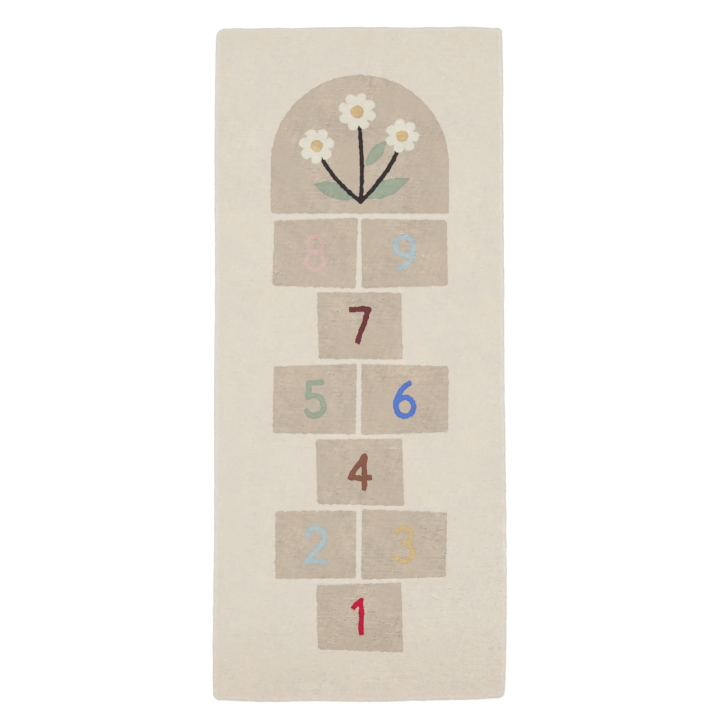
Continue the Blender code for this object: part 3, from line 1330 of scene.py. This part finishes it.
@lru_cache(maxsize=None)
def wool(yarn):
    """Cut wool. Its yarn's colour drifts a little warmer and cooler with a slow noise, and is
    multiplied by a darker, warmer tint towards the foot and a little towards the head, and by the
    rim's paler, cooler tint, which is painted light on its sloping wool. It is then scaled by one
    plus the tuft's own tint, with its painted highlights, shadows and shade, less the valleys'
    painted shade, plus fibre ends, whose gaps are painted shade, and strands."""
    look = bpy.context.scene.rug_yarns
    surface = Surface(f"wool_{yarn}")
    place = surface.place()
    colour = np.array(getattr(look, yarn))
    shift = np.array([look.hue_shift, 0.0, -look.hue_shift])
    cloud = surface.noise(place, look.hue_cloud_scale, detail=3.0, roughness=0.6)
    drift = (cloud - 0.5) * HUE_STRETCH + 0.5
    hue = surface.mixed(drift, colour * (1 - shift), colour * (1 + shift))
    along = surface.place_along("Y")
    # The colour is darker and warmer towards the foot, and a little towards the head.
    foot_darkening = surface.rising(along * -1.0, look.foot_darkening_from, look.foot_darkening_to)
    head_darkening = surface.rising(along, look.head_darkening_from, look.head_darkening_to) * look.head_darkening
    hue = surface.times(hue, surface.mixed(foot_darkening + head_darkening, WHITE, look.end_darkening_tint))
    # Painted light: the rim's sloping wool is painted paler and cooler, as if it caught the light all round.
    hue = surface.times(hue, surface.mixed(surface.attribute("rim"), WHITE, look.rim_painted_light))
    ends = 1.0 - surface.dots(1.0 / look.fibre_spacing) * FIBRE_FALL
    strand_scale = 1.0 / (FIBRES_TO_STRAND * look.fibre_spacing)
    strands = surface.noise(place, strand_scale, detail=2.0, roughness=0.5)
    valley_shade = surface.attribute("depth") * bpy.context.scene.rug_pile.valley_shade
    brightness = 1.0 + surface.attribute("tuft_tint") - valley_shade
    # Painted shade: the gaps between fibre ends are darker than their middles.
    brightness = brightness + (ends - MEAN_FIBRE_END) * look.fibre_contrast
    brightness = brightness + (strands - 0.5) * STRAND_CONTRAST
    return surface.be_cloth(
        WOOL_FINISH,
        colour=surface.scaled(hue, brightness),
        grain=ends - 0.5,
        height=ends * FIBRE_BUMP + strands,
        sheen=look.sheen,
        sheen_tint=np.sqrt(colour),
    )


def plain_woven_cloth():
    """Unbleached cotton back cloth. Warp and weft are two sine waves, multiplied, so that they cross
    over and under; both have slubs, which are noise drawn out along them."""
    look = bpy.context.scene.rug_yarns
    surface = Surface("back_cloth_cotton")
    place = surface.place()
    turns = 2 * math.pi / look.thread_spacing
    warp_wave = surface.math("SINE", surface.place_along("X") * turns)
    weft_wave = surface.math("SINE", surface.place_along("Y") * turns)
    weave = warp_wave * weft_wave
    short, long = SLUBS_ACROSS / look.thread_spacing, SLUBS_ALONG / look.thread_spacing
    slubs = -1.0
    for stretch in ((short, long, short), (long, short, short)):
        slubs = slubs + surface.noise(surface.times(place, stretch), 1.0, detail=3.0, roughness=0.6)
    glue = surface.noise(place, GLUE_PATCHES, detail=3.0, roughness=0.5) - 0.5
    brightness = 1.0 + weave * WEAVE_SHADE + slubs * SLUB_SHADE + glue * GLUE_SHADE
    return surface.be_cloth(
        COTTON_FINISH,
        colour=surface.scaled(look.back_cloth, brightness),
        grain=glue,
        height=weave * WEAVE_BUMP + slubs,
        sheen=COTTON_SHEEN,
        sheen_tint=WHITE,
    )


def pale_floor():
    """A smooth pale studio floor."""
    surface = Surface("studio_floor")
    sockets = {
        "Base Color": (*FLOOR_COLOUR, 1.0),
        "Roughness": FLOOR_ROUGHNESS,
        "Specular IOR Level": 0.0,
    }
    surface.feed(surface.shader, sockets)
    return surface.material


# ---------------------------------------------------------------------------------------------
# Settings


def length(name, description, default):
    """A setting in metres."""
    return FloatProperty(
        name=name, description=description, default=default, subtype="DISTANCE", unit="LENGTH"
    )


def share(name, description, default):
    """A setting that is a share of something."""
    return FloatProperty(name=name, description=description, default=default, subtype="FACTOR")


def amount(name, description, default, **more):
    """A setting that is a plain number."""
    return FloatProperty(name=name, description=description, default=default, **more)


def colour(name, description, default):
    """A setting that is a linear colour, or what one is multiplied by."""
    return FloatVectorProperty(name=name, description=description, default=default, subtype="COLOR")


class RugPile(bpy.types.PropertyGroup):
    """How the pile is tufted and cut."""

    pitch: length("Pitch", "Distance between tufts in a row", 0.0031)
    relief: length("Relief", "From a valley up to the tips round it, where the pile is fresh", 0.0006)
    unevenness: length("Unevenness", "Slow rise and fall of the cut surface", 0.00012)
    scatter: share("Scatter", "How far a tuft strays from its row, as a share of the pitch", 0.18)
    fringe: length("Fringe", "How far yarns stray over the line between two colours", 0.00025)
    trueness: share("Trueness", "How closely tufts are drawn up to that line", 0.9)
    edge_stray: length("Edge stray", "How far the rug's edge strays from its line, for each wave", 0.00019)
    lump_share: share("Lumps", "Share of tufts left longer by the shears", 0.02)
    # Painted highlight on a lump's top, and painted shadow on the tuft below it.
    lump_highlight_and_shadow: share("Lump highlight and shadow", "Painted highlight on a lump, and painted shadow on the tuft below it", 0.045)
    streak: share("Streak", "Lightness that changes along the rows", 0.005)
    tuft_tint: share("Tuft tint", "Lightness that changes tuft by tuft", 0.003)
    cloud_tint: share("Cloud tint", "Slow change of lightness over the rug", 0.0045)
    patchiness: share("Patchiness", "How much stronger or weaker tints are from patch to patch", 0.3)
    fleck_share: share("Flecks", "Share of tufts that are plainly darker, and as many lighter", 0.003)
    taupe_mottle: amount("Taupe mottle", "How much stronger all of that is on the taupe", 3.4)
    bright_mottle: amount("Number mottle", "How much stronger it is on numbers and leaves", 3.0)
    edge_shade: share("Edge shade", "How much darker a dark yarn is along its area's edge", 0.26)
    line_lightness: share("Line lightness", "How much lighter the lines between tiles are", 0.025)
    line_reach: length("Line reach", "How near a tuft is to both tiles to be on their line", 0.012)
    valley_shade: share("Valley shade", "How much darker the yarn is between tufts", 0.10)
    roughening: share("Roughening", "How much stronger relief and tints are where it is trodden", 0.9)
    fibre_count: IntProperty(
        name="Loose fibres", description="How many fibres stand out of the pile", default=15000
    )
    fibre_length: length("Fibre length", "Usual length of a loose fibre", 0.0030)
    fibre_width: length("Fibre width", "Width of a loose fibre at its foot", 0.00016)
    rim_fibres: amount("Rim fibres", "How much more thickly they stand round the rim", 7.0)
    seed: IntProperty(name="Seed", description="Number that the unevenness is drawn from", default=7)


class RugCourt(bpy.types.PropertyGroup):
    """The court's lines, numbers and daisies."""

    groove_depth: length("Groove depth", "How deep the shears carve round a tile", 0.0012)
    groove_width: length("Groove width", "Full width of that groove", 0.0056)
    motif_depth: length("Motif depth", "How deep the shears carve round a number or a daisy", 0.0004)
    wander: length("Wander", "How far the line between two colours usually strays", 0.00045)
    numeral_height: length("Number height", "Height of each number", 0.086)
    numeral_stroke: length("Number stroke", "Width of a number's line", 0.0122)
    stem_stroke: length("Stem", "Width of a daisy's stem", 0.0095)


class RugYarns(bpy.types.PropertyGroup):
    """Linear colours of the yarns, the rim's painted light, the darkening towards the foot and the head, and
    the finish of the wool and the back cloth.
    """

    cream: colour("Cream", "Ground", (0.685, 0.629, 0.538))
    taupe: colour("Taupe", "Tiles and home space", (0.520, 0.436, 0.346))
    chalk: colour("Chalk", "Petals", (0.693, 0.660, 0.561))
    charcoal: colour("Charcoal", "Stems", (0.0362, 0.0296, 0.0279))
    mustard: colour("Mustard", "Number and the daisies' middles", (0.585, 0.439, 0.231))
    brown: colour("Brown", "Number", (0.245, 0.0979, 0.0663))
    ice: colour("Ice blue", "Numbers", (0.413, 0.497, 0.514))
    red: colour("Red", "Number", (0.495, 0.0114, 0.0429))
    rose: colour("Rose", "Number", (0.604, 0.442, 0.386))
    blue: colour("Blue", "Number", (0.0960, 0.1882, 0.549))
    sage: colour("Sage", "Number and leaves", (0.323, 0.371, 0.283))
    burgundy: colour("Burgundy", "Number", (0.1619, 0.0400, 0.0437))
    back_cloth: colour("Back cloth", "Cotton on the underside", (0.560, 0.500, 0.400))
    thread_spacing: length("Thread spacing", "From one thread of the back cloth to the next but one", 0.0022)
    sheen: share("Sheen", "Soft light on the fibres at a low angle", 0.30)
    hue_shift: share("Hue shift", "How far a yarn's red and blue drift, as a share of them", 0.018)
    hue_cloud_scale: amount("Hue clouds", "How many drifts of hue there are to a metre", 22.0)
    # Painted light on the rim's sloping wool.
    rim_painted_light: colour("Rim painted light", "Painted light: what the rim's sloping wool is multiplied by", (1.070, 1.113, 1.150))
    # A darker, warmer tint towards the foot and the head.
    end_darkening_tint: colour("End darkening tint", "What the wool towards the foot and the head is multiplied by", (0.977, 0.947, 0.930))
    foot_darkening_from: length("Foot darkening from", "How far from the middle darkening begins at the foot", 0.52)
    foot_darkening_to: length("Foot darkening to", "How far from the middle that darkening is whole", 0.73)
    head_darkening_from: length("Head darkening from", "How far from the middle darkening begins at the head", 0.66)
    head_darkening_to: length("Head darkening to", "How far from the middle that darkening is whole", 0.72)
    head_darkening: share("Head darkening", "How strong darkening is at the head, against the foot", 0.22)
    fibre_spacing: length("Fibre spacing", "Distance between the ends of the fibres", 0.0005)
    # Painted shade in the gaps between fibre ends.
    fibre_contrast: share("Fibre contrast", "How dark the gaps between fibre ends are", 0.05)


class RugStudio(bpy.types.PropertyGroup):
    """The camera and lights."""

    lens: amount("Lens", "Focal length in millimetres", 110.0)
    frame_width: length("Frame width", "Width that the picture spans at the rug's widest line", 1.6024)
    aim_x: length("Aim across", "Where the camera looks, across the rug", 0.0004)
    aim_y: length("Aim along", "Where the camera looks, along the rug", 0.0094)
    light_power: amount("Light power", "Power of the softbox", 33.9, unit="POWER")
    light_size: length("Light size", "Side of the square softbox", 2.6)
    light_height: length("Light height", "Height of the softbox over the floor", 2.4)
    light_along: length("Light along", "How far the softbox is moved along the rug", 0.12)
    sky: share("Sky", "Strength of the even light from all round", 0.830)
    floor_size: length("Floor size", "Side of the floor", 60.0)


# ---------------------------------------------------------------------------------------------
# Operators

# The ground's pieces from the foot to the head, and the court's, by the names that its areas carry.
GROUND_PIECES = ("ground_pile_foot", "ground_pile_middle", "ground_pile_head")
COURT_PIECES = ("tile_pile", "home_pile", "number_pile", "daisy_pile")


class RUG_OT_back_cloth(bpy.types.Operator):
    """Lays the cotton back cloth, with its turned edge, under the pile"""

    bl_idname = "rug.back_cloth"
    bl_label = "Back cloth"

    def execute(self, context):
        # Rings at insets from the outline, joined by walls, with a flat fill above and one below.
        outline = anticlockwise(lines_at(WIDEST_HEIGHT)[0])
        count = len(outline)
        points = np.concatenate(
            [
                np.column_stack([inset_line(outline, level.inset), np.full(count, level.height)])
                for level in CLOTH_RIM
            ]
        )
        rings = np.arange(len(points)).reshape(-1, count)
        faces = []
        for upper, lower in zip(rings[:-1], rings[1:]):
            faces += wall_between(upper, lower)
        faces.append(flat_fill(points[:, :2], rings[0], np.roll(rings[0], -1))[:, ::-1])
        faces.append(flat_fill(points[:, :2], np.roll(rings[-1], -1), rings[-1]))
        cloth = mesh_piece("back_cloth", points, np.concatenate(faces))
        cloth.data.set_sharp_from_angle(angle=CLOTH_SHARP_ANGLE)
        cloth.data.materials.append(plain_woven_cloth())
        return {"FINISHED"}


class RUG_OT_ground_pile(bpy.types.Operator):
    """Tufts the cream ground, in three lengths from the foot to the head"""

    bl_idname = "rug.ground_pile"
    bl_label = "Ground pile"

    def execute(self, context):
        ground = np.flatnonzero(tufts().area == 0)
        row = tufts().rows[ground]
        low, high = np.quantile(row, (1 / 3, 2 / 3))
        third = (row > low).astype(int) + (row > high)
        for number, name in enumerate(GROUND_PIECES):
            tufted_piece(name, ground[third == number])
        return {"FINISHED"}


class RUG_OT_court_pile(bpy.types.Operator):
    """Tufts the tiles, the home space, the numbers and the daisies, a piece for each kind"""

    bl_idname = "rug.court_pile"
    bl_label = "Court pile"

    def execute(self, context):
        for name in COURT_PIECES:
            numbers = [number for number, area in enumerate(areas(), start=1) if area.piece == name]
            tufted_piece(name, np.flatnonzero(np.isin(tufts().area, numbers)))
        return {"FINISHED"}


class RUG_OT_loose_fibres(bpy.types.Operator):
    """Scatters loose fibre ends over the pile, most thickly round its rim"""

    bl_idname = "rug.loose_fibres"
    bl_label = "Loose fibres"

    def execute(self, context):
        pile = context.scene.rug_pile
        field = tufts()
        rng = np.random.default_rng(pile.seed + FIBRE_SEED)
        height = field.tip_place[:, 2]
        weight = np.where(height < RIM_FIBRE_HEIGHT, pile.rim_fibres, 1.0)
        weight[height < LOWEST_FIBRE_HEIGHT] = 0.0
        chosen = rng.choice(len(height), pile.fibre_count, p=weight / weight.sum())
        points = fibre_points(field, chosen, rng)
        count, each = points.shape[:2]
        faces = FIBRE_FACES + np.arange(count)[:, None, None] * each
        piece = mesh_piece("loose_fibres", points.reshape(-1, 3), faces.reshape(-1, 3))
        faces_each = len(FIBRE_FACES)
        add_attribute(piece, "tuft_tint", "FACE", spread(field.tuft_tint[chosen], faces_each))
        add_attribute(piece, "depth", "POINT", np.zeros(count * each))
        add_attribute(piece, "rim", "POINT", spread(field.tip_rim[chosen], each))
        dress_in_wool(piece, field.area[chosen], faces_each)
        set_map(piece, cells(count * faces_each, WHOLE_MAP))
        return {"FINISHED"}


class RUG_OT_stage(bpy.types.Operator):
    """Sets the pale floor, the softbox, the even sky and the camera straight above"""

    bl_idname = "rug.stage"
    bl_label = "Stage"

    def execute(self, context):
        scene = context.scene
        studio = scene.rug_studio
        half = studio.floor_size / 2
        corners = [(-half, -half, 0), (half, -half, 0), (half, half, 0), (-half, half, 0)]
        mesh = bpy.data.meshes.new("studio_floor")
        mesh.from_pydata(corners, [], [(0, 1, 2, 3)])
        mesh.materials.append(pale_floor())
        floor = bpy.data.objects.new("studio_floor", mesh)
        scene.collection.objects.link(floor)

        softbox = bpy.data.lights.new("softbox", "AREA")
        softbox.energy = studio.light_power
        softbox.size = studio.light_size
        lamp = bpy.data.objects.new("softbox", softbox)
        lamp.location = (0, studio.light_along, studio.light_height)
        lamp.visible_camera = False
        scene.collection.objects.link(lamp)

        scene.world = bpy.data.worlds.new("even_sky")
        scene.world.use_nodes = True
        sky = scene.world.node_tree.nodes["Background"]
        sky.inputs["Color"].default_value = (*WHITE, 1.0)
        sky.inputs["Strength"].default_value = studio.sky

        # The camera's height over the widest line is half the frame's width divided by the tangent
        # of half its angle.
        camera = bpy.data.cameras.new("camera")
        camera.lens = studio.lens
        eye = bpy.data.objects.new("camera", camera)
        half_angle_tangent = camera.sensor_width / 2 / studio.lens
        away = studio.frame_width / 2 / half_angle_tangent
        eye.location = (studio.aim_x, studio.aim_y, WIDEST_HEIGHT + away)
        scene.collection.objects.link(eye)
        scene.camera = eye
        scene.view_settings.view_transform = "Standard"
        return {"FINISHED"}


# The operators in the order in which they run, and the settings by the names that the scene holds.
OPERATORS = (
    RUG_OT_back_cloth,
    RUG_OT_ground_pile,
    RUG_OT_court_pile,
    RUG_OT_loose_fibres,
    RUG_OT_stage,
)
SETTINGS = {
    "rug_pile": RugPile,
    "rug_court": RugCourt,
    "rug_yarns": RugYarns,
    "rug_studio": RugStudio,
}


class RUG_PT_sidebar(bpy.types.Panel):
    """The rug's pieces and settings"""

    bl_idname = "RUG_PT_sidebar"
    bl_label = "Hopscotch rug"
    bl_space_type = "VIEW_3D"
    bl_region_type = "UI"
    bl_category = "Rug"

    def draw(self, context):
        for operator in OPERATORS:
            self.layout.operator(operator.bl_idname)
        for name, group in SETTINGS.items():
            for setting in group.__annotations__:
                self.layout.prop(getattr(context.scene, name), setting)


CLASSES = (*SETTINGS.values(), *OPERATORS, RUG_PT_sidebar)


def register():
    """Registers the classes and hangs the settings on the scene."""
    for thing in CLASSES:
        bpy.utils.register_class(thing)
    for name, group in SETTINGS.items():
        setattr(bpy.types.Scene, name, PointerProperty(type=group))


def unregister():
    """Takes the settings off the scene and the classes out of Blender."""
    for name in SETTINGS:
        delattr(bpy.types.Scene, name)
    for thing in reversed(CLASSES):
        bpy.utils.unregister_class(thing)


def main():
    register()
    for operator in OPERATORS:
        getattr(bpy.ops.rug, operator.bl_idname.removeprefix("rug."))()
    pile = [thing for thing in bpy.data.objects if "_pile" in thing.name]
    pile.append(bpy.data.objects["loose_fibres"])


if __name__ == "__main__":
    main()
